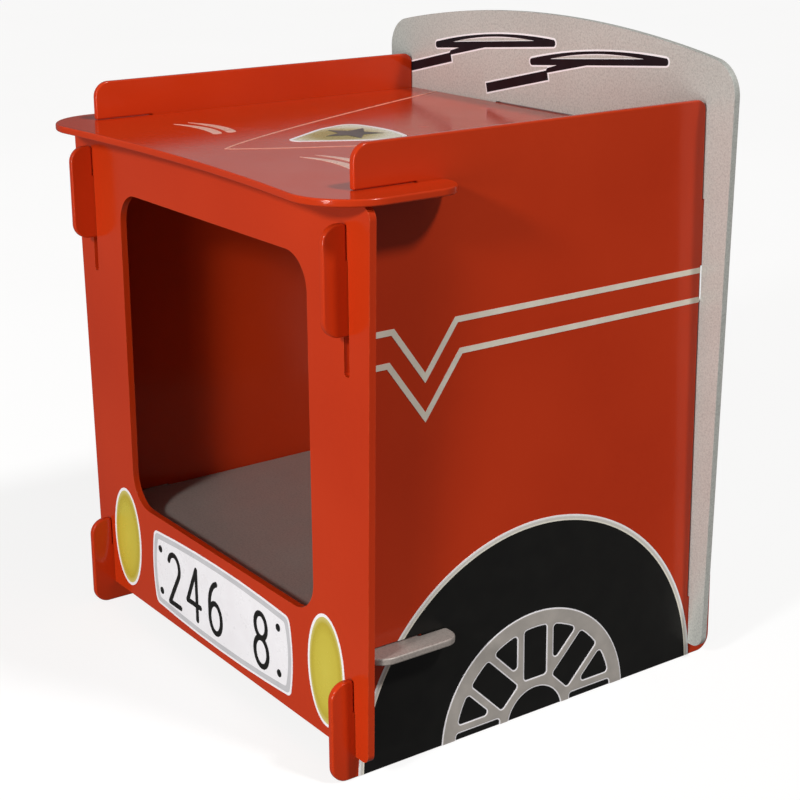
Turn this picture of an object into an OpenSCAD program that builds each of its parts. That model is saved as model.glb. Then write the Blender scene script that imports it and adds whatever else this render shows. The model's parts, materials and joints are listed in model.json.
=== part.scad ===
// Child's bedside cabinet in the shape of a small lorry, cut from flat boards
// that hook and slot together without screws or glue.
// X runs across the front, +Y runs to the back, +Z is up.
// The origin is on the floor, under the middle of the bounding box.

/* [Boards] */
// Thickness of every board
board = 6; // [5:0.5:8]
// Clearance on each side of a board in a slot
slot_gap = 0.5; // [0.4:0.1:0.8]
// Thickness of the decals
decal = 0.25; // [0.15:0.05:0.3]

/* [Cabinet] */
// Width over the outer faces of the side panels
cabinet_w = 420; // [400:5:450]
// Depth from the front face of the front panel to the rear face of the back panel
cabinet_d = 364; // [340:2:400]
// Height of the side panels, which end in the rails above the top
side_h = 500; // [490:2:530]
// Height of the upper surface of the top panel
top_z = 466; // [462:1:470]
// Height of the upper surface of the bottom shelf
shelf_z = 104; // [100:1:108]
// Radius at the front end of a rail
rail_front_r = 14; // [4:1:20]
// Radius at the rear end of a rail
rail_rear_r = 9; // [3:1:20]

/* [Front and back panels] */
// Width of both panels at the floor end
panel_bottom_w = 454; // [450:1:480]
// Width of both panels at the height of the top panel
panel_top_w = 479; // [470:1:500]
// Floor clearance of the front panel
front_lift = 18.5; // [10:0.5:25]
// Floor clearance of the back panel
back_lift = 12; // [8:0.5:25]
// Width of the front opening
opening_w = 308; // [240:2:320]
// Lower edge of the front opening
opening_z0 = 115; // [112:1:140]
// Upper edge of the front opening
opening_z1 = 409; // [300:1:415]
// Corner radius of the front opening
opening_r = 29; // [5:1:60]
// Height of the crown of the back panel
crown_z = 554.5; // [545:0.5:600]
// Rise of the crown from its ends to its middle
crown_rise = 25.5; // [10:0.5:40]
// Radius between the crown and the sides of the back panel
crown_r = 30; // [10:1:50]

/* [Hooks] */
// How far a hook stands out from the panel that hangs on it
hook_reach = 21; // [15:1:35]
// Bottom of the upper hooks
hook_z0 = 359; // [340:1:365]
// Top of the necks of the upper hooks, where the panels hang
hook_neck_z = 416.5; // [405:0.5:420]
// Top of the necks of the feet
foot_neck_z = 57; // [40:0.5:60]
// Height of the nose of a hook above its neck
hook_nose = 27; // [15:1:32]
// Radius of the outer corners of hooks and feet
hook_r = 14; // [5:1:20]

/* [Top panel and shelf] */
// How far back the halving joints with the side panels go
halving_y = 62; // [45:1:70]
// Rear end of the wings outside the side panels
wing_end_y = 88; // [80:1:110]
// Width of the top panel over its wings
top_w = 485; // [484:1:540]
// Overhang of the top panel in the middle of its front edge
overhang = 25; // [15:1:30]
// How much further forward the front edge reaches at its ends
front_bow = 10; // [0:1:15]
// Radius of the front corners of the top panel
top_corner_r = 51; // [20:1:52]
// Radius at the rear ends of the top panel's wings
top_wing_r = 24; // [5:1:26]
// Width of the bottom shelf over its wings
shelf_w = 461; // [450:1:480]
// Front corner radius of the shelf's wings
shelf_front_r = 19; // [4:1:19]
// Radius at the rear ends of the shelf's wings
shelf_wing_r = 12; // [4:1:13]
// Width of the tabs that lock the top panel and shelf into the back panel
tab_w = 136; // [60:2:200]

/* [Side decals] */
// Height of the centre line of the upper stripe
stripe_upper_z = 355.5; // [340:0.5:380]
// Height of the centre line of the lower stripe
stripe_lower_z = 330; // [300:0.5:335]
// Width of a stripe
stripe_w = 4.8; // [2:0.2:8]
// Distance of the point of the stripes from the front face
stripe_vee_y = 69; // [50:1:90]
// Distance of the wheel centre from the front face
wheel_y = 181; // [178:0.5:188]
// Height of the wheel centre, just under the floor
wheel_z = -6; // [-20:0.5:0]
// Outer radius of the wheel arch
arch_r = 178.5; // [150:0.5:179]
// Width of the wheel arch line
arch_w = 5; // [2:0.5:10]
// Outer radius of the wheel rim
rim_r = 97.5; // [90:0.5:110]
// Width of the ring of the wheel rim
rim_w = 14; // [6:0.5:20]
// Radius of the hub
hub_r = 29; // [15:0.5:35]
// Width of a straight window in the wheel rim
straight_w = 24; // [16:0.5:26]
// Width of a spoke
spoke_w = 7.4; // [4:0.2:8]
// Width of the pale line round the rim, windows and hub
outline = 1.2; // [0.6:0.1:2]

/* [Front decals] */
// Distance of a headlight's centre from the middle
headlight_x = 170.5; // [168:0.5:173]
// Height of the headlights' centres
headlight_z = 75.5; // [70:0.5:80]
// Width of a headlight
headlight_w = 53; // [30:1:54]
// Height of a headlight
headlight_h = 97; // [60:1:100]
// Width of a headlight's rim
headlight_rim = 2.6; // [1:0.2:5]
// Width of the number plate across its middle
plate_w = 241; // [220:1:250]
// Height of the number plate at its middle
plate_h = 80; // [74:1:84]
// Height of the number plate's centre
plate_z = 65.5; // [64:0.5:67]

/* [Hidden] */

lorry_red = [0.70, 0.10, 0.04];
silver = [0.62, 0.60, 0.57];
white = [0.93, 0.91, 0.90];
black = [0.06, 0.06, 0.06];
olive = [0.72, 0.68, 0.20];
grey = [0.42, 0.42, 0.41];

side_outer = cabinet_w / 2;
side_inner = side_outer - board;
front_y = board;
back_y = cabinet_d - board;
gap = slot_gap;
far = 600;
hook_front = -hook_reach;
hook_back = cabinet_d + hook_reach;
bow_x = top_w / 2 - top_corner_r;
bow_slope = 2 * front_bow / bow_x;
front_reach = overhang + front_bow - top_corner_r * (sqrt(1 + bow_slope * bow_slope) - 1);
middle_y = (hook_back - front_reach) / 2;
arc_step = 6;

plate_edge_w = 2;
plate_band_w = 6.8;
digit_stroke = 5;
vee_front_y = 21;
line_w = 2.6;
badge_edge_w = 3.5;
window_count = 8;
window_pitch = 360 / window_count;
window_r = 3;
window_inner = hub_r + 9;
wiper_x = 73;
wiper_z = 514.5;
wiper_tilt = 5.3;
left_wiper_lift = 3;
blade_w = 182;
blade_h = 6;
blade_bow = 6.5;

// ---- Outlines -------------------------------------------------------------

function unit(v) = v / norm(v);
function turned(v, angle) =
    [v.x * cos(angle) - v.y * sin(angle), v.x * sin(angle) + v.y * cos(angle)];

// Points of the arc that rounds corner p, between neighbours a and b
function corner_arc(a, p, b, r) =
    let (
        to_a = unit(a - p),
        to_b = unit(b - p),
        half = acos(to_a * to_b) / 2,
        reach = r / tan(half),
        middle = p + unit(to_a + to_b) * r / sin(half),
        start = p + to_a * reach - middle,
        side = to_a.x * to_b.y - to_a.y * to_b.x,
        sweep = (side > 0 ? -1 : 1) * (180 - 2 * half),
        steps = max(1, ceil(abs(sweep) / arc_step))
    )
    [for (i = [0 : steps]) middle + turned(start, sweep * i / steps)];

// Outline through corners [x, y, radius]; a radius of 0 leaves a corner sharp
function rounded(corners) =
    let (n = len(corners))
    [for (i = [0 : n - 1])
        let (
            c = corners[i],
            p = [c.x, c.y],
            before = corners[(i + n - 1) % n],
            after = corners[(i + 1) % n]
        )
        each c.z == 0 ? [p]
            : corner_arc([before.x, before.y], p, [after.x, after.y], c.z)];

function box_corners(w, z0, z1, r) =
    [[-w / 2, z0, r], [w / 2, z0, r], [w / 2, z1, r], [-w / 2, z1, r]];

// Points of an arc from a to b that rises by sag to the left of a-to-b
function bowed(a, b, sag, steps = 16) =
    let (
        half = norm(b - a) / 2,
        r = (half * half + sag * sag) / (2 * abs(sag)),
        along = unit(b - a),
        up = turned(along, 90) * sign(sag),
        middle = (a + b) / 2 + up * (abs(sag) - r),
        sweep = asin(half / r)
    )
    [for (i = [0 : steps])
        let (angle = -sweep + 2 * sweep * i / steps)
        middle + along * r * sin(angle) + up * r * cos(angle)];

// The same points without the ends, as sharp corners of an outline
function bowed_middle(a, b, sag, steps = 6) =
    let (points = bowed(a, b, sag, steps))
    [for (i = [1 : steps - 1]) [points[i].x, points[i].y, 0]];

function ellipse(w, h, steps = 96) =
    [for (i = [0 : steps - 1]) [w / 2 * cos(360 * i / steps), h / 2 * sin(360 * i / steps)]];

// ---- Placing --------------------------------------------------------------

module placed() { translate([0, -middle_y, 0]) children(); }

// A drawing in (depth, height) becomes a layer from x to x + thickness
module across(x, thickness) {
    translate([x, 0, 0]) rotate([90, 0, 90]) linear_extrude(thickness) children();
}

// A drawing in (width, height) becomes a layer from y to y + thickness
module upright(y, thickness) {
    translate([0, y + thickness, 0]) rotate([90, 0, 0]) linear_extrude(thickness) children();
}

// A drawing in (width, depth) becomes a layer from z to z + thickness
module flat(z, thickness) {
    translate([0, 0, z]) linear_extrude(thickness) children();
}

module both_sides() {
    children();
    mirror([1, 0]) children();
}

module front_decal(layer = 0) {
    placed() upright(-decal * (layer + 1), decal) children();
}

module back_decal(layer = 0) {
    placed() upright(back_y - decal * (layer + 1), decal) children();
}

module top_decal(layer = 0) {
    placed() flat(top_z + decal * layer, decal) children();
}

// side is 1 for the right of the cabinet and -1 for its left
module side_decal(side, layer = 0) {
    x = side_outer + decal * layer;
    placed() across(side > 0 ? x : -x - decal, decal) children();
}

// ---- Boards ---------------------------------------------------------------

// Half the width of the front and back panels at height z
function panel_half(z) =
    (panel_bottom_w + (panel_top_w - panel_bottom_w) * z / top_z) / 2;

// Slots for the hooks, which drop over their necks, and for the feet
module hanging_slots(lift) {
    both_sides() {
        translate([side_inner - gap, 0]) {
            hole_bottom = hook_z0 - hook_nose - 5;
            width = board + 2 * gap;
            polygon(rounded([
                [0, hole_bottom, 2.5], [width, hole_bottom, 2.5],
                [width, hook_neck_z, 0], [0, hook_neck_z, 0]
            ]));
            translate([0, lift - 1]) square([width, foot_neck_z - lift + 1]);
        }
    }
}

module front_panel() {
    top = top_z - board - gap;
    bottom_half = panel_half(front_lift);
    top_half = panel_half(top);
    color(lorry_red) placed() upright(0, board) difference() {
        polygon(rounded([
            [-bottom_half, front_lift, 8], [bottom_half, front_lift, 8],
            [top_half, top, 10], [-top_half, top, 10]
        ]));
        polygon(rounded(box_corners(opening_w, opening_z0, opening_z1, opening_r)));
        hanging_slots(front_lift);
    }
}

module back_panel() {
    shoulder_z = crown_z - crown_rise;
    bottom_half = panel_half(back_lift);
    shoulder_half = panel_half(shoulder_z);
    crown = bowed([shoulder_half, shoulder_z], [-shoulder_half, shoulder_z], -crown_rise, 40);
    corners = [
        [-shoulder_half, shoulder_z, crown_r],
        [-bottom_half, back_lift, 12],
        [bottom_half, back_lift, 12],
        [shoulder_half, shoulder_z, crown_r]
    ];
    // The crown's arc starts and ends where the shoulders stop being round
    inner_crown = [for (p = crown) if (abs(p.x) < shoulder_half - crown_r) [p.x, p.y, 0]];
    color(silver) placed() upright(back_y, board) difference() {
        polygon(rounded(concat(corners, inner_crown)));
        hanging_slots(back_lift);
        for (z = [top_z, shelf_z])
            translate([-tab_w / 2 - 1, z - board - gap]) square([tab_w + 2, board + gap + 1]);
    }
}

// Outline of a side panel in (depth, height), with its hooks and feet
function side_corners() =
    let (
        y0 = front_y + gap,
        y1 = back_y - gap,
        hook_top = hook_neck_z + hook_nose,
        foot_top = foot_neck_z + hook_nose
    )
    [
        [hook_front, 0, hook_r], [hook_back, 0, hook_r],
        [hook_back, foot_top, hook_r], [cabinet_d + gap, foot_top, 3],
        [cabinet_d + gap, foot_neck_z, 0], [y1, foot_neck_z, 0],
        [y1, hook_z0, 0], [hook_back, hook_z0, hook_r],
        [hook_back, hook_top, hook_r], [cabinet_d + gap, hook_top, 3],
        [cabinet_d + gap, hook_neck_z, 0], [y1, hook_neck_z, 0],
        [y1, side_h, rail_rear_r], [y0, side_h, rail_front_r],
        [y0, hook_neck_z, 0], [-gap, hook_neck_z, 0],
        [-gap, hook_top, 3], [hook_front, hook_top, hook_r],
        [hook_front, hook_z0, hook_r], [y0, hook_z0, 0],
        [y0, foot_neck_z, 0], [-gap, foot_neck_z, 0],
        [-gap, foot_top, 3], [hook_front, foot_top, hook_r]
    ];

module side_board(x) {
    slot_end = halving_y + 1.5;
    color(lorry_red) placed() across(x, board) difference() {
        polygon(rounded(side_corners()));
        for (z = [top_z, shelf_z])
            translate([0, z - board - gap]) polygon(rounded([
                [0, 0, 0], [slot_end, 0, 2.5],
                [slot_end, board + 1.5 * gap, 2.5], [0, board + 1.5 * gap, 0]
            ]));
    }
}

module right_side_panel() { side_board(side_inner); }
module left_side_panel() { side_board(-side_outer); }

// Rear part of the top panel and the shelf: the body between the side
// panels with its tab, from the left wing round to the right wing
function body_corners() =
    let (
        slot_x = side_outer + gap,
        body_x = side_inner - gap,
        slot_y = halving_y - 1,
        y1 = back_y - gap,
        tab_x = tab_w / 2
    )
    [
        [slot_x, wing_end_y, 3], [slot_x, slot_y, 1.5], [body_x, slot_y, 1.5],
        [body_x, y1, 3], [tab_x, y1, 0], [tab_x, cabinet_d, 2],
        [-tab_x, cabinet_d, 2], [-tab_x, y1, 0], [-body_x, y1, 3],
        [-body_x, slot_y, 1.5], [-slot_x, slot_y, 1.5], [-slot_x, wing_end_y, 3]
    ];

module top_panel() {
    corner_x = top_w / 2;
    steps = 20;
    front_edge = [for (i = [0 : steps])
        let (x = -bow_x + 2 * bow_x * i / steps)
        [x, -overhang - front_bow * x * x / (bow_x * bow_x), 0]];
    corner_y = -overhang - front_bow - bow_slope * top_corner_r;
    color(lorry_red) placed() flat(top_z - board, board) polygon(rounded(concat(
        [[-corner_x, corner_y, top_corner_r]],
        [for (i = [1 : steps - 1]) front_edge[i]],
        [[corner_x, corner_y, top_corner_r], [corner_x, wing_end_y, top_wing_r]],
        body_corners(),
        [[-corner_x, wing_end_y, top_wing_r]]
    )));
}

module bottom_shelf() {
    wing_x = shelf_w / 2;
    front = front_y + gap;
    color(silver) placed() flat(shelf_z - board, board) polygon(rounded(concat(
        [[-wing_x, front, shelf_front_r], [wing_x, front, shelf_front_r],
         [wing_x, wing_end_y, shelf_wing_r]],
        body_corners(),
        [[-wing_x, wing_end_y, shelf_wing_r]]
    )));
}

// ---- Headlights -----------------------------------------------------------

module headlight_shape(inset = 0) {
    polygon(ellipse(headlight_w - 2 * inset, headlight_h - 2 * inset));
}

module headlight_rim(side) {
    color(white) front_decal() translate([side * headlight_x, headlight_z]) difference() {
        headlight_shape();
        headlight_shape(headlight_rim);
    }
}

module headlight_lens(side) {
    color(olive) front_decal() translate([side * headlight_x, headlight_z])
        headlight_shape(headlight_rim);
}

module left_headlight_rim() { headlight_rim(-1); }
module right_headlight_rim() { headlight_rim(1); }
module left_headlight_lens() { headlight_lens(-1); }
module right_headlight_lens() { headlight_lens(1); }

// ---- Number plate ---------------------------------------------------------

// A plate with four gently bowed edges and round corners
module plate_shape(inset = 0) {
    bow = 4.5;
    x = plate_w / 2 - bow - inset;
    z = plate_h / 2 - bow - inset;
    r = 7 - inset / 2;
    translate([0, plate_z]) polygon(rounded(concat(
        [[-x, -z, r]], bowed_middle([-x, -z], [x, -z], -bow),
        [[x, -z, r]], bowed_middle([x, -z], [x, z], -bow),
        [[x, z, r]], bowed_middle([x, z], [-x, z], -bow),
        [[-x, z, r]], bowed_middle([-x, z], [-x, -z], -bow)
    )));
}

module plate_edge() {
    color(white) front_decal() difference() {
        plate_shape();
        plate_shape(plate_edge_w);
    }
}

module plate_band() {
    color(silver) front_decal() difference() {
        plate_shape(plate_edge_w);
        plate_shape(plate_band_w);
    }
}

module plate_field() {
    color(white) front_decal() plate_shape(plate_band_w);
}

module plate_screw_dots() {
    color(black) front_decal(1) for (x = [-105, 99], z = [44.5, 85.5])
        translate([x, z]) circle(r = 3.4, $fn = 32);
}

// A stroke of constant width with round ends
module stroke(a, b) {
    translate(a) rotate(atan2(b.y - a.y, b.x - a.x)) {
        translate([0, -digit_stroke / 2]) square([norm(b - a), digit_stroke]);
        for (x = [0, norm(b - a)])
            translate([x, 0]) circle(d = digit_stroke, $fn = 24);
    }
}

module strokes(points) {
    for (i = [0 : len(points) - 2]) stroke(points[i], points[i + 1]);
}

function digit_arc(centre, w, h, from, to, steps = 12) =
    [for (i = [0 : steps])
        let (angle = from + (to - from) * i / steps)
        centre + [w / 2 * cos(angle), h / 2 * sin(angle)]];

module digit_two() {
    strokes(concat(digit_arc([10, 36], 20, 24, 160, -35), [[0, 0], [20, 0]]));
}

module digit_four() {
    strokes([[17, 0], [17, 48], [0, 14], [23, 14]]);
}

module digit_six() {
    strokes(digit_arc([10, 14], 20, 28, 0, 360, 20));
    strokes(concat([[0, 16]], digit_arc([17, 24], 34, 48, 170, 105, 5)));
}

module digit_eight() {
    strokes(digit_arc([10, 13], 21, 26, 0, 360, 20));
    strokes(digit_arc([10, 37], 18, 22, 0, 360, 20));
}

module plate_digits() {
    color(black) front_decal(1) translate([0, 39.5]) {
        translate([-90, 0]) digit_two();
        translate([-56, 0]) digit_four();
        translate([-16, 0]) digit_six();
        translate([61, 0]) digit_eight();
    }
}

// ---- Bonnet ---------------------------------------------------------------

// Half width of the bonnet line's vee at depth y
function vee_x(y) = 1.165 * pow(max(0, y - vee_front_y), 0.85);

module bonnet_line() {
    steps = 14;
    end_y = back_y - 2;
    across_w = 1.12 * line_w;
    depths = [for (i = [1 : steps]) vee_front_y + (end_y - vee_front_y) * pow(i / steps, 1.5)];
    inner_tip = vee_front_y + pow(across_w / 1.165, 1 / 0.85);
    color(white) top_decal() polygon(concat(
        [[0, vee_front_y]],
        [for (y = depths) [vee_x(y), y]],
        [for (i = [steps - 1 : -1 : 0]) [vee_x(depths[i]) - across_w, depths[i]]],
        [[0, inner_tip]],
        [for (y = depths) [across_w - vee_x(y), y]],
        [for (i = [steps - 1 : -1 : 0]) [-vee_x(depths[i]), depths[i]]]
    ));
}

// A crescent that starts as a point and ends thick and round
module vent_shape() {
    tip = [0, 0];
    upper = [70.5, 9.2];
    lower = [70.5, 0.6];
    end_r = 3.8;
    polygon(rounded(concat(
        [[tip.x, tip.y, 0]],
        bowed_middle(tip, upper, 9, 10),
        [[upper.x, upper.y, end_r], [lower.x, lower.y, end_r]],
        bowed_middle(lower, tip, -5.5, 10)
    )));
}

module bonnet_vents(x) {
    color(white) top_decal() for (y = [50, 64])
        translate([x, y]) vent_shape();
}

module left_bonnet_vents() { bonnet_vents(-140); }
module right_bonnet_vents() { bonnet_vents(69); }

// Shield with its point to the front
module badge_shape(inset = 0) {
    x = 48 - inset;
    polygon(rounded([
        [0, 76 + 1.8 * inset, 10 - inset], [x - 10, 138 + inset / 2, 60],
        [x, 175 - inset, 14 - inset],
        [0, 187 - inset, 120], [-x, 175 - inset, 14 - inset], [10 - x, 138 + inset / 2, 60]
    ]));
}

module badge_border() {
    color(white) top_decal() difference() {
        badge_shape();
        badge_shape(badge_edge_w);
    }
}

module badge_field() { color(olive) top_decal() badge_shape(badge_edge_w); }

// A plain five-pointed star
module badge_star() {
    color(grey) top_decal(1) translate([0, 147]) polygon([for (i = [0 : 9])
        let (r = i % 2 == 0 ? 27 : 12)
        [r * sin(36 * i), -r * cos(36 * i)]]);
}

// ---- Side decals ----------------------------------------------------------

// A level stripe that dips to a vee near the front
module stripe(z, vee_depth) {
    slope = 1.38;
    foot = vee_depth / slope;
    half = stripe_w / 2;
    steep = half * sqrt(1 + slope * slope);
    shift = (steep - half) / slope;
    y0 = front_y + 1;
    y1 = back_y - 1;
    vee = stripe_vee_y;
    polygon([
        [y0, z - half], [vee - foot - shift, z - half], [vee, z - vee_depth - steep],
        [vee + foot + shift, z - half], [y1, z - half], [y1, z + half],
        [vee + foot - shift, z + half], [vee, z - vee_depth + steep],
        [vee - foot + shift, z + half], [y0, z + half]
    ]);
}

module upper_stripe(side) {
    color(silver) side_decal(side) stripe(stripe_upper_z, 41);
}

module lower_stripe(side) {
    color(silver) side_decal(side) stripe(stripe_lower_z, 47);
}

module right_upper_stripe() { upper_stripe(1); }
module left_upper_stripe() { upper_stripe(-1); }
module right_lower_stripe() { lower_stripe(1); }
module left_lower_stripe() { lower_stripe(-1); }

// Keeps a wheel decal on its board, off the floor and clear of the shelf's wing;
// low down it may run on through the slots of the front and back panels
module on_side_board() {
    difference() {
        intersection() {
            children();
            union() {
                translate([front_y + 1, 0.6]) square([back_y - front_y - 2, far]);
                translate([1, 0.6]) square([cabinet_d - 2, foot_neck_z - 10]);
            }
        }
        translate([0, shelf_z - board - 2 * gap]) square([halving_y + 2, board + 4 * gap]);
    }
}

module disc(r) {
    translate([wheel_y, wheel_z]) circle(r = r, $fn = 180);
}

module wheel_arch(side) {
    color(white) side_decal(side) on_side_board() difference() {
        disc(arch_r);
        disc(arch_r - arch_w);
    }
}

module tyre(side) {
    color(black) side_decal(side) on_side_board() disc(arch_r - arch_w);
}

// Points of the rim's inner circle between the angles -half and half
function window_edge(r, half) =
    [for (i = [-1 : 2 : 1]) [r * cos(half * i / 3), r * sin(half * i / 3), 0]];

// A straight window, pointing along +X from the wheel centre
module straight_window(grow = 0) {
    inner = window_inner - grow;
    side = straight_w / 2 + grow;
    r = rim_r - rim_w + grow;
    x = sqrt(r * r - side * side);
    corner = window_r + grow;
    polygon(rounded(concat(
        [[inner, side, corner], [inner, -side, corner], [x, -side, corner]],
        window_edge(r, asin(side / r)),
        [[x, side, corner]]
    )));
}

// The wedge left between two straight windows and their spokes
module wedge_window(grow = 0) {
    half_pitch = window_pitch / 2;
    side = straight_w / 2 + spoke_w - grow;
    tip = side / sin(half_pitch);
    r = rim_r - rim_w + grow;
    reach = sqrt(r * r - side * side) - side / tan(half_pitch);
    x = tip + reach * cos(half_pitch);
    y = reach * sin(half_pitch);
    corner = window_r + grow;
    polygon(rounded(concat(
        [[tip, 0, corner], [x, -y, corner]],
        window_edge(r, atan2(y, x)),
        [[x, y, corner]]
    )));
}

module windows(grow = 0) {
    translate([wheel_y, wheel_z]) for (i = [0 : window_count - 1]) {
        rotate(window_pitch * i) straight_window(grow);
        rotate(window_pitch * (i + 0.5)) wedge_window(grow);
    }
}

// Silver ring and spokes, less wide at every edge by inset
module rim_shape(inset = 0) {
    on_side_board() difference() {
        disc(rim_r - inset);
        disc(hub_r + inset);
        windows(inset);
    }
}

module rim_outline(side) { color(white) side_decal(side, 1) rim_shape(); }
module rim(side) { color(silver) side_decal(side, 2) rim_shape(outline); }

module right_wheel_arch() { wheel_arch(1); }
module left_wheel_arch() { wheel_arch(-1); }
module right_tyre() { tyre(1); }
module left_tyre() { tyre(-1); }
module right_rim_outline() { rim_outline(1); }
module left_rim_outline() { rim_outline(-1); }
module right_rim() { rim(1); }
module left_rim() { rim(-1); }

// ---- Wipers ---------------------------------------------------------------

// Bowed blade of a wiper, without its window
module blade_shape(grow) {
    end = [blade_w / 2 + grow, blade_h + grow];
    corner = blade_h / 2 - 0.1 + grow;
    polygon(rounded(concat(
        [[-end.x, -grow, corner], [end.x, -grow, corner], [end.x, end.y, corner]],
        bowed_middle(end, [-end.x, end.y], -blade_bow, 16),
        [[-end.x, end.y, corner]]
    )));
}

// Blade with its lens-shaped window, arm and handle; grow widens every edge
module wiper_shape(grow = 0) {
    translate([0, wiper_z]) rotate(wiper_tilt) difference() {
        blade_shape(grow);
        polygon(bowed([grow - 63, 5.6 + grow / 3], [62 - grow, 5.6 + grow / 3], 4.4 - grow));
    }
    // Thin arm that leaves the blade near its middle
    polygon([
        [-4, 516 + grow], [-41, 513 + grow], [-66.5, 505.7 + grow],
        [-70, 500.6 - grow], [-4, 515.2 - grow]
    ]);
    // Handle
    translate([-66, 499.2]) rotate(13.2)
        translate([-92 - grow, -4.4 - grow]) square([92 + 2 * grow, 8.8 + 2 * grow]);
}

// A drawing of a wiper at its place on the back panel
module wiper_place(side) {
    translate([side * wiper_x, side < 0 ? left_wiper_lift : 0]) children();
}

module wiper_outline(side) {
    color(white) back_decal() wiper_place(side) wiper_shape(1.5);
}

module wiper(side) {
    color(black) back_decal(1) wiper_place(side) wiper_shape();
}

module left_wiper_outline() { wiper_outline(-1); }
module right_wiper_outline() { wiper_outline(1); }
module left_wiper() { wiper(-1); }
module right_wiper() { wiper(1); }

// ---- Nodes ----------------------------------------------------------------

front_panel();
back_panel();
left_side_panel();
right_side_panel();
top_panel();
bottom_shelf();
left_headlight_rim();
right_headlight_rim();
left_headlight_lens();
right_headlight_lens();
plate_edge();
plate_band();
plate_field();
plate_screw_dots();
plate_digits();
bonnet_line();
left_bonnet_vents();
right_bonnet_vents();
badge_border();
badge_field();
badge_star();
left_upper_stripe();
right_upper_stripe();
left_lower_stripe();
right_lower_stripe();
left_wheel_arch();
right_wheel_arch();
left_tyre();
right_tyre();
left_rim_outline();
right_rim_outline();
left_rim();
right_rim();
left_wiper_outline();
right_wiper_outline();
left_wiper();
right_wiper();
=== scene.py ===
import json
import math

import bpy
from mathutils import Matrix, Vector


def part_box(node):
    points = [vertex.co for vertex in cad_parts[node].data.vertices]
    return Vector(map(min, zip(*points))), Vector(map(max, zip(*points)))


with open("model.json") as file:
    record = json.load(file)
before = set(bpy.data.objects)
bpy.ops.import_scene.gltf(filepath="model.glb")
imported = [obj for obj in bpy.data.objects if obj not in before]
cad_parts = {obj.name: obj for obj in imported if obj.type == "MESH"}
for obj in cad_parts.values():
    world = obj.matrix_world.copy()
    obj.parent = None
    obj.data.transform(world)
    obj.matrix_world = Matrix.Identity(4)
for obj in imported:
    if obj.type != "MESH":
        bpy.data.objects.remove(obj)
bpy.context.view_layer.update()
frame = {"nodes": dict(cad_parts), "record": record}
NODES = frame["nodes"]
MM = 0.001


# ---- Shader building ------------------------------------------------------

BEVEL_SAMPLES = 6
FLAT_DOT = 0.99  # the softened normal still lies along the face's own
ROUND_DOT = 0.80  # it has turned away from it, so this is an edge


class Shader:
    """A material and short ways to add nodes to it."""

    def __init__(self, name):
        self.material = bpy.data.materials.new(name)
        self.material.use_nodes = True
        self.tree = self.material.node_tree
        self.tree.nodes.clear()
        self.out = self.tree.nodes.new("ShaderNodeOutputMaterial")
        self.bsdf = self.tree.nodes.new("ShaderNodeBsdfPrincipled")
        self.tree.links.new(self.bsdf.outputs[0], self.out.inputs["Surface"])
        self.place = self.tree.nodes.new("ShaderNodeTexCoord").outputs["Object"]

    def add(self, kind, inputs=None, **settings):
        node = self.tree.nodes.new(kind)
        for key, value in settings.items():
            setattr(node, key, value)
        for key, value in (inputs or {}).items():
            self.feed(node.inputs[key], value)
        return node

    def feed(self, socket, value):
        if isinstance(value, bpy.types.NodeSocket):
            self.tree.links.new(value, socket)
        else:
            socket.default_value = value

    def set(self, **values):
        for key, value in values.items():
            self.feed(self.bsdf.inputs[key.replace("_", " ")], value)

    def math(self, operation, a, b=0.0):
        node = self.add("ShaderNodeMath", {0: a, 1: b}, operation=operation)
        return node.outputs[0]

    def noise(self, scale, detail=3.0, roughness=0.5):
        """Noise with scale features to the metre."""
        node = self.add(
            "ShaderNodeTexNoise",
            {
                "Vector": self.place,
                "Scale": scale,
                "Detail": detail,
                "Roughness": roughness,
            },
        )
        return node.outputs["Fac"]

    def spread(self, value, low, high, to_low=0.0, to_high=1.0):
        """value between low and high, stretched to run from to_low to to_high."""
        node = self.add(
            "ShaderNodeMapRange", {0: value, 1: low, 2: high, 3: to_low, 4: to_high}
        )
        return node.outputs[0]

    def blend(self, factor, a, b):
        node = self.add("ShaderNodeMix", {0: factor, 6: a, 7: b}, data_type="RGBA")
        return node.outputs[2]

    def ramp(self, value, stops):
        node = self.add("ShaderNodeValToRGB", {0: value})
        points = node.color_ramp.elements
        while len(points) < len(stops):
            points.new(0.5)
        for point, (position, colour) in zip(points, stops):
            point.position = position
            point.color = colour
        return node.outputs[0]

    def bump(self, height, distance):
        node = self.add("ShaderNodeBump", {"Height": height, "Distance": distance})
        return node.outputs[0]

    def edge_mask(self, radius):
        """1 along the rounded edges and 0 on the flat faces."""
        soft = self.add("ShaderNodeBevel", {"Radius": radius}, samples=BEVEL_SAMPLES)
        sharp = self.add("ShaderNodeNewGeometry").outputs["True Normal"]
        dot = self.add(
            "ShaderNodeVectorMath",
            {0: soft.outputs[0], 1: sharp},
            operation="DOT_PRODUCT",
        )
        return self.spread(dot.outputs["Value"], FLAT_DOT, ROUND_DOT)


def srgb(r, g, b):
    """Linear colour from 8-bit display values."""

    def linear(v):
        v /= 255
        return v / 12.92 if v <= 0.04045 else ((v + 0.055) / 1.055) ** 2.4

    return (linear(r), linear(g), linear(b), 1.0)


# ---- Lacquers -------------------------------------------------------------

WEAR_RADIUS = 1.6 * MM

RED = (0.53, 0.0345, 0.0050, 1.0)
RED_LIGHT = (0.56, 0.039, 0.0062, 1.0)
RED_DEEP = (0.50, 0.031, 0.0043, 1.0)
RED_WORN = (0.70, 0.13, 0.045, 1.0)
RED_DRIFT_SCALE = 5.0
RED_MOTTLE_SCALE = 160.0
RED_WEAR_SCALE = 90.0
RED_PEEL_SCALE = 130.0
RED_NIB_SCALE = 900.0
RED_SMUDGE_SCALE = 14.0
RED_PEEL_SHARE = 0.8
RED_PEEL_DEPTH = 0.04 * MM
RED_ROUGHNESS = (0.13, 0.21)
RED_GLOSS = 0.34
RED_GLOSS_TINT = (1.0, 0.88, 0.82, 1.0)

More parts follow.
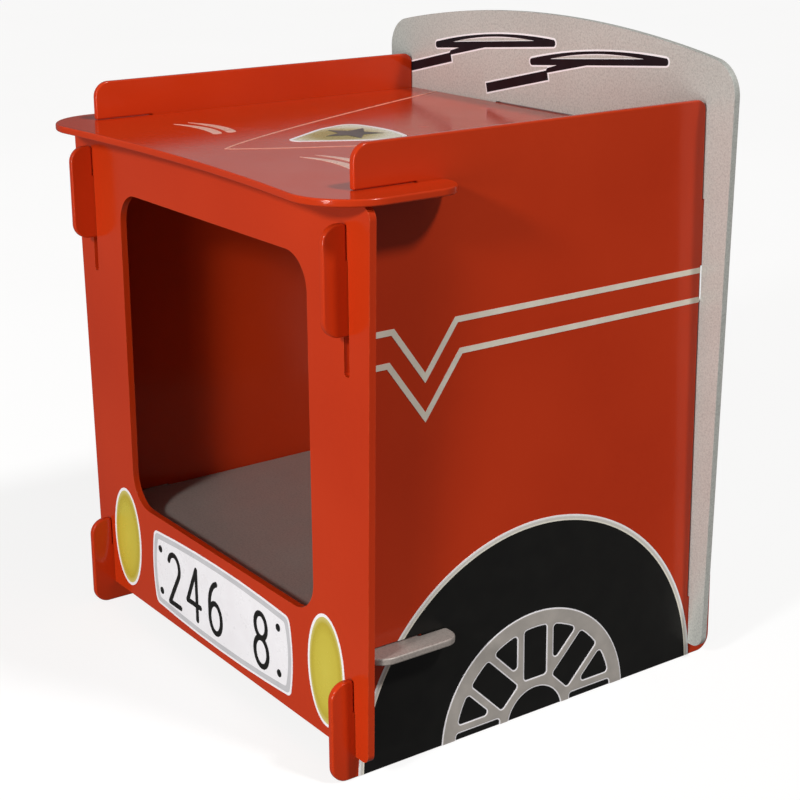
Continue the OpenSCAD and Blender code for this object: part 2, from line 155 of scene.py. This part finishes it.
BACK_SILVER = (0.565, 0.568, 0.524)
# The shelf is the same silver lacquer as the back panel, made darker and browner:
# painted shade.
SHELF_SILVER_PAINTED_SHADE = (0.35, 0.305, 0.275)
SILVER_GRAIN_SCALE = 1500.0
SILVER_FLAKE_SCALE = 520.0
SILVER_CLOUD_SCALE = 7.0
SILVER_WEAR_SCALE = 80.0
SILVER_SMUDGE_SCALE = 30.0
SILVER_CLOUD_SHADES = (0.93, 1.05)
SILVER_GRAIN_SHADE = 1.30
SILVER_FLAKE_SHADE = 0.72
SILVER_WORN_SHADE = 0.62
SILVER_GRAIN_DEPTH = 0.04 * MM
SILVER_METAL = 0.2
SILVER_ROUGHNESS = (0.34, 0.46)
SILVER_GLOSS = 0.5


def red_lacquer(name):
    """High-gloss red: slight colour drift, orange peel, dust nibs, worn edges."""
    s = Shader(name)
    drift = s.noise(RED_DRIFT_SCALE)
    mottle = s.noise(RED_MOTTLE_SCALE, detail=2.0)
    colour = s.blend(s.spread(drift, 0.35, 0.65), RED_DEEP, RED_LIGHT)
    colour = s.blend(s.spread(mottle, 0.3, 0.7, 0.0, 0.35), colour, RED)
    edge = s.edge_mask(WEAR_RADIUS)
    patches = s.spread(s.noise(RED_WEAR_SCALE, detail=4.0), 0.45, 0.7, 0.05, 0.5)
    colour = s.blend(s.math("MULTIPLY", edge, patches), colour, RED_WORN)
    nibs = s.noise(RED_NIB_SCALE, detail=2.0)
    peel = s.noise(RED_PEEL_SCALE, detail=1.5)
    smudge = s.noise(RED_SMUDGE_SCALE, detail=4.0, roughness=0.65)
    height = s.math(
        "ADD",
        s.math("MULTIPLY", peel, RED_PEEL_SHARE),
        s.math("MULTIPLY", nibs, 1 - RED_PEEL_SHARE),
    )
    s.set(
        Base_Color=colour,
        Roughness=s.spread(smudge, 0.3, 0.75, *RED_ROUGHNESS),
        Normal=s.bump(height, RED_PEEL_DEPTH),
        Specular_IOR_Level=RED_GLOSS,
        Specular_Tint=RED_GLOSS_TINT,
    )
    return s.material


def silver_lacquer(name, tone):
    """Satin silver lacquer with a fine metallic grain."""
    s = Shader(name)

    def shade(gain):
        return tuple(channel * gain for channel in tone) + (1.0,)

    grain = s.noise(SILVER_GRAIN_SCALE, detail=2.0, roughness=0.6)
    flake = s.noise(SILVER_FLAKE_SCALE, detail=2.0, roughness=0.6)
    cloud = s.spread(s.noise(SILVER_CLOUD_SCALE), 0.35, 0.65)
    light = s.spread(grain, 0.35, 0.7, 0.0, 0.8)
    dark = s.spread(flake, 0.45, 0.68, 0.0, 0.6)
    colour = s.blend(cloud, *(shade(gain) for gain in SILVER_CLOUD_SHADES))
    colour = s.blend(light, colour, shade(SILVER_GRAIN_SHADE))
    colour = s.blend(dark, colour, shade(SILVER_FLAKE_SHADE))
    edge = s.edge_mask(WEAR_RADIUS)
    patches = s.spread(s.noise(SILVER_WEAR_SCALE, detail=4.0), 0.4, 0.7, 0.1, 0.55)
    worn = s.math("MULTIPLY", edge, patches)
    colour = s.blend(worn, colour, shade(SILVER_WORN_SHADE))
    smudge = s.noise(SILVER_SMUDGE_SCALE, detail=4.0)
    s.set(
        Base_Color=colour,
        Metallic=SILVER_METAL,
        Roughness=s.spread(smudge, 0.3, 0.7, *SILVER_ROUGHNESS),
        Normal=s.bump(s.math("ADD", grain, flake), SILVER_GRAIN_DEPTH),
        Specular_IOR_Level=SILVER_GLOSS,
    )
    return s.material


# ---- Print ----------------------------------------------------------------

PRINT_GRAIN_SCALE = 1300.0
PRINT_MOTTLE_SCALE = 60.0
PRINT_SCUFF_SCALE = 45.0
PRINT_GRAIN_DEPTH = 0.02 * MM
PRINT_GRAIN_SHARE = 0.4
ZONE_GRAIN_SHARE = 0.35
ZONE_GRAIN_SHADE = 0.82
PRINT_GLOSS = 0.4
BLACK_GLOSS = 0.28
WIPER_GLOSS = 0.2
SMOOTHER, ROUGHER = 0.05, 0.08
BLACK = (0.0, 0.0, 0.0, 1.0)


def printed(name, low, high, roughness=0.3, gloss=PRINT_GLOSS, zones=None):
    """Printed film: ink mottle, fine grain and faint scuffs.

    zones(shader) returns a distance with the colours it runs through. Without
    it the colour drifts between low and high.
    """
    s = Shader(name)
    grain = s.noise(PRINT_GRAIN_SCALE, detail=2.0, roughness=0.6)
    if zones:
        colour = s.ramp(*zones(s))
        specks = s.blend(ZONE_GRAIN_SHADE, BLACK, colour)
        share = ZONE_GRAIN_SHARE
    else:
        mottle = s.spread(s.noise(PRINT_MOTTLE_SCALE), 0.3, 0.7)
        colour = s.blend(mottle, low, high)
        specks = low
        share = PRINT_GRAIN_SHARE
    colour = s.blend(s.spread(grain, 0.4, 0.8, 0.0, share), colour, specks)
    scuffs = s.noise(PRINT_SCUFF_SCALE, detail=5.0, roughness=0.7)
    s.set(
        Base_Color=colour,
        Roughness=s.spread(
            scuffs, 0.3, 0.7, roughness - SMOOTHER, roughness + ROUGHER
        ),
        Normal=s.bump(grain, PRINT_GRAIN_DEPTH),
        Specular_IOR_Level=gloss,
    )
    return s.material


def centre_distance(s, centre, radii):
    """0 at an ellipse's centre and 1 on it; x counts alike on both sides.

    An axis whose radius is 0 is left out.
    """
    folded = s.add("ShaderNodeVectorMath", {0: s.place}, operation="ABSOLUTE")
    sides = s.add("ShaderNodeSeparateXYZ", {0: folded.outputs[0]}).outputs
    signed = s.add("ShaderNodeSeparateXYZ", {0: s.place}).outputs
    total = 0.0
    for axis, middle, radius in zip((sides[0], signed[1], signed[2]), centre, radii):
        if radius:
            step = s.math("DIVIDE", s.math("SUBTRACT", axis, middle), radius)
            total = s.math("ADD", s.math("MULTIPLY", step, step), total)
    return s.math("SQRT", total)


def node_box(name):
    """Middle and half size of a CAD node."""
    low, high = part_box(name)
    middle = [(a + b) / 2 for a, b in zip(low, high)]
    return middle, [(b - a) / 2 for a, b in zip(low, high)]


def lens_zones(s):
    """Yellow glass: bright middle, deeper ring, pale rim."""
    middle, half = node_box("right_headlight_lens")
    stops = (
        (0.0, srgb(212, 196, 76)),
        (0.66, srgb(206, 188, 68)),
        (0.88, srgb(192, 172, 56)),
        (1.0, srgb(216, 202, 120)),
    )
    return centre_distance(s, middle, (half[0], 0, half[2])), stops


def badge_zones(s):
    """Olive field that fades to cream."""
    middle, half = node_box("badge_field")
    stops = (
        (0.0, srgb(158, 144, 74)),
        (0.5, srgb(170, 154, 86)),
        (0.75, srgb(204, 194, 152)),
        (1.0, srgb(230, 226, 208)),
    )
    return centre_distance(s, (0.0, middle[1], 0.0), (half[0], half[1], 0)), stops


def arch_zones(s):
    """Cream inner line, silver band and white outer line round the tyre."""
    middle, half = node_box("right_tyre")
    arch_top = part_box("right_wheel_arch")[1][2]
    width = arch_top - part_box("right_tyre")[1][2]
    outer = half[1] + width
    hub_z = arch_top - outer
    step = width / outer
    stops = (
        (0.0, srgb(248, 242, 226)),
        (1 - 0.80 * step, srgb(248, 242, 226)),
        (1 - 0.70 * step, srgb(222, 216, 207)),
        (1 - 0.36 * step, srgb(222, 216, 207)),
        (1 - 0.26 * step, srgb(255, 253, 251)),
    )
    return centre_distance(s, (0.0, middle[1], hub_z), (0, outer, outer)), stops


red = red_lacquer("red_lacquer")
back_silver = silver_lacquer("silver_lacquer", BACK_SILVER)
# Darker copy of the silver lacquer for the bottom shelf: painted shade.
shelf_painted_shade_silver = silver_lacquer("silver_lacquer_shelf_painted_shade", SHELF_SILVER_PAINTED_SHADE)
white = printed("white_print", srgb(247, 243, 245), srgb(253, 250, 252), 0.28)
silver = printed("silver_print", srgb(220, 210, 193), srgb(234, 224, 207), 0.34)
rim_silver = printed(
    "rim_silver_print", srgb(168, 161, 154), srgb(186, 178, 170), 0.34
)
black = printed("black_print", srgb(19, 18, 17), srgb(24, 23, 21), 0.36, BLACK_GLOSS)
wiper_black = printed(
    "wiper_print", srgb(24, 20, 24), srgb(32, 27, 32), 0.36, WIPER_GLOSS
)
grey = printed("grey_print", srgb(72, 70, 68), srgb(88, 85, 82), 0.32)
pale_grey = printed("pale_grey_print", srgb(198, 196, 198), srgb(210, 208, 210))
pink = printed("pale_pink_print", srgb(226, 176, 160), srgb(240, 200, 184), 0.28)
faint_pink = printed(
    "pink_line_print", srgb(232, 156, 134), srgb(240, 172, 152), 0.28
)
lens = printed("lens_print", None, None, 0.24, zones=lens_zones)
badge = printed("badge_print", None, None, 0.26, zones=badge_zones)
arch = printed("arch_print", None, None, 0.28, zones=arch_zones)

SLOT_LOOKS = {
    "red_board": red,
    "silver_board": back_silver,
    "white_print": white,
    "silver_print": silver,
    "black_print": black,
    "olive_print": lens,
    "grey_print": grey,
}
OWN_LOOKS = {
    # The bottom shelf gets the darker silver copy, which is painted shade.
    "bottom_shelf": shelf_painted_shade_silver,
    "bonnet_line": faint_pink,
    "left_bonnet_vents": pink,
    "right_bonnet_vents": pink,
    "badge_field": badge,
    "plate_band": pale_grey,
    "left_wheel_arch": arch,
    "right_wheel_arch": arch,
    "left_rim": rim_silver,
    "right_rim": rim_silver,
    "left_wiper": wiper_black,
    "right_wiper": wiper_black,
}

slots = {row["node"]: row["material_slot"] for row in frame["record"]["subparts"]}
for name, piece in NODES.items():
    piece.data.materials.clear()
    piece.data.materials.append(OWN_LOOKS.get(name) or SLOT_LOOKS[slots[name]])


# ---- Rounded board edges --------------------------------------------------

BOARDS = (
    "front_panel",
    "back_panel",
    "left_side_panel",
    "right_side_panel",
    "top_panel",
    "bottom_shelf",
)
EDGE_RADIUS = 1.5 * MM
EDGE_SEGMENTS = 4
EDGE_ANGLE = math.radians(40)
WELD_GAP = 0.001 * MM
FLAT_ANGLE = math.radians(0.5)


def round_edges(piece):
    weld = piece.modifiers.new("weld", "WELD")
    weld.merge_threshold = WELD_GAP
    flat = piece.modifiers.new("flat", "DECIMATE")
    flat.decimate_type = "DISSOLVE"
    flat.angle_limit = FLAT_ANGLE
    bevel = piece.modifiers.new("bevel", "BEVEL")
    bevel.width = EDGE_RADIUS
    bevel.segments = EDGE_SEGMENTS
    bevel.limit_method = "ANGLE"
    bevel.angle_limit = EDGE_ANGLE
    piece.modifiers.new("normals", "WEIGHTED_NORMAL")
    for polygon in piece.data.polygons:
        polygon.use_smooth = True


for name in BOARDS:
    round_edges(NODES[name])


# ---- Stage ----------------------------------------------------------------

FLOOR_SIZE = 160.0
FLOOR_Z = -0.2 * MM
FLOOR_TONES = ((0.22, 0.22, 0.22, 1.0), (0.24, 0.24, 0.24, 1.0))
FLOOR_CLOUD_SCALE = 2.0
FLOOR_GLOW = 0.80
FLOOR_GLOW_COLOUR = (1.0, 0.995, 0.99, 1.0)
FLOOR_ROUGHNESS = 0.95
FLOOR_GLOSS = 0.1


def plane(name, size, z):
    mesh = bpy.data.meshes.new(name)
    h = size / 2
    mesh.from_pydata(
        [(-h, -h, z), (h, -h, z), (h, h, z), (-h, h, z)], [], [(0, 1, 2, 3)]
    )
    piece = bpy.data.objects.new(name, mesh)
    bpy.context.scene.collection.objects.link(piece)
    return piece


# The floor glows a little, so that it stays pale outside the lamps' reach. It
# doesn't light the object from below, because the real one stood in a dim room.
floor = plane("studio_floor", FLOOR_SIZE, FLOOR_Z)
floor.visible_diffuse = False
floor.visible_glossy = False
pale = Shader("pale_floor")
pale.set(
    Base_Color=pale.blend(pale.noise(FLOOR_CLOUD_SCALE), *FLOOR_TONES),
    Roughness=FLOOR_ROUGHNESS,
    Specular_IOR_Level=FLOOR_GLOSS,
    Emission_Color=FLOOR_GLOW_COLOUR,
    Emission_Strength=FLOOR_GLOW,
)
floor.data.materials.append(pale.material)


# ---- Light ----------------------------------------------------------------

KEY_TOWARD = (1.0, 0.4, 1.38)
KEY_STRENGTH = 1.77
KEY_ANGLE = math.radians(7.5)

FRONT_AT, FRONT_AIM = (0.89, -2.66, 1.69), (0.0, 0.0, 0.28)
FRONT_SIZE, FRONT_WATTS = 0.40, 51.0

FILL_AT, FILL_AIM = (0.95, -2.85, 0.42), (0.0, -0.2, 0.3)
FILL_SIZE, FILL_WATTS = 1.0, 36.0

SOFTBOX_AT, SOFTBOX_AIM = (-2.2, 1.6, 0.75), (0.0, 0.0, 0.5)
SOFTBOX_SIZE, SOFTBOX_WATTS = 1.5, 1.5

AMBIENT = 0.14
BACKDROP = 1.0


def light(name, kind, along, energy):
    """A light that shines along a direction."""
    data = bpy.data.lights.new(name, kind)
    data.energy = energy
    piece = bpy.data.objects.new(name, data)
    piece.rotation_euler = along.to_track_quat("-Z", "Y").to_euler()
    bpy.context.scene.collection.objects.link(piece)
    return piece


def lamp(name, at, aim, size, watts):
    piece = light(name, "AREA", Vector(aim) - Vector(at), watts)
    piece.data.shape = "DISK"
    piece.data.size = size
    piece.location = at


key = light("key_right", "SUN", -Vector(KEY_TOWARD), KEY_STRENGTH)
key.data.angle = KEY_ANGLE
lamp("front_lamp", FRONT_AT, FRONT_AIM, FRONT_SIZE, FRONT_WATTS)
lamp("front_fill", FILL_AT, FILL_AIM, FILL_SIZE, FILL_WATTS)
lamp("softbox_behind", SOFTBOX_AT, SOFTBOX_AIM, SOFTBOX_SIZE, SOFTBOX_WATTS)

# The room is dim for the object and white for the camera.
world = bpy.data.worlds.new("studio")
world.use_nodes = True
bpy.context.scene.world = world
tree = world.node_tree
sky = tree.nodes["Background"]
sky.inputs["Color"].default_value = (1.0, 1.0, 1.0, 1.0)
seen = tree.nodes.new("ShaderNodeLightPath").outputs["Is Camera Ray"]
level = tree.nodes.new("ShaderNodeMapRange")
tree.links.new(seen, level.inputs[0])
level.inputs["To Min"].default_value = AMBIENT
level.inputs["To Max"].default_value = BACKDROP
tree.links.new(level.outputs[0], sky.inputs["Strength"])


# ---- Camera ---------------------------------------------------------------

CAMERA_AT = (1.22486, -0.84899, 0.70852)
CAMERA_AZIMUTH = math.radians(54.644)
CAMERA_ELEVATION = math.radians(14.957)
CAMERA_ROLL = math.radians(-0.470)
FOCAL_PX = 1738.6
IMAGE_PX = 800
SENSOR_WIDTH = 36.0
SHIFT_Y = -0.12
CLIP_NEAR, CLIP_FAR = 0.05, 200.0

camera = bpy.data.objects.new("camera", bpy.data.cameras.new("camera"))
bpy.context.scene.collection.objects.link(camera)
bpy.context.scene.camera = camera
camera.data.sensor_width = SENSOR_WIDTH
camera.data.lens = FOCAL_PX * SENSOR_WIDTH / IMAGE_PX
camera.data.shift_y = SHIFT_Y
camera.data.clip_start, camera.data.clip_end = CLIP_NEAR, CLIP_FAR
across = math.cos(CAMERA_ELEVATION)
from_object = Vector(
    (
        math.sin(CAMERA_AZIMUTH) * across,
        -math.cos(CAMERA_AZIMUTH) * across,
        math.sin(CAMERA_ELEVATION),
    )
)
turn = (-from_object).to_track_quat("-Z", "Y").to_matrix()
turn = turn @ Matrix.Rotation(CAMERA_ROLL, 3, "Z")
camera.matrix_world = Matrix.Translation(CAMERA_AT) @ turn.to_4x4()

bpy.context.scene.view_settings.view_transform = "Standard"
bpy.context.scene.view_settings.look = "None"
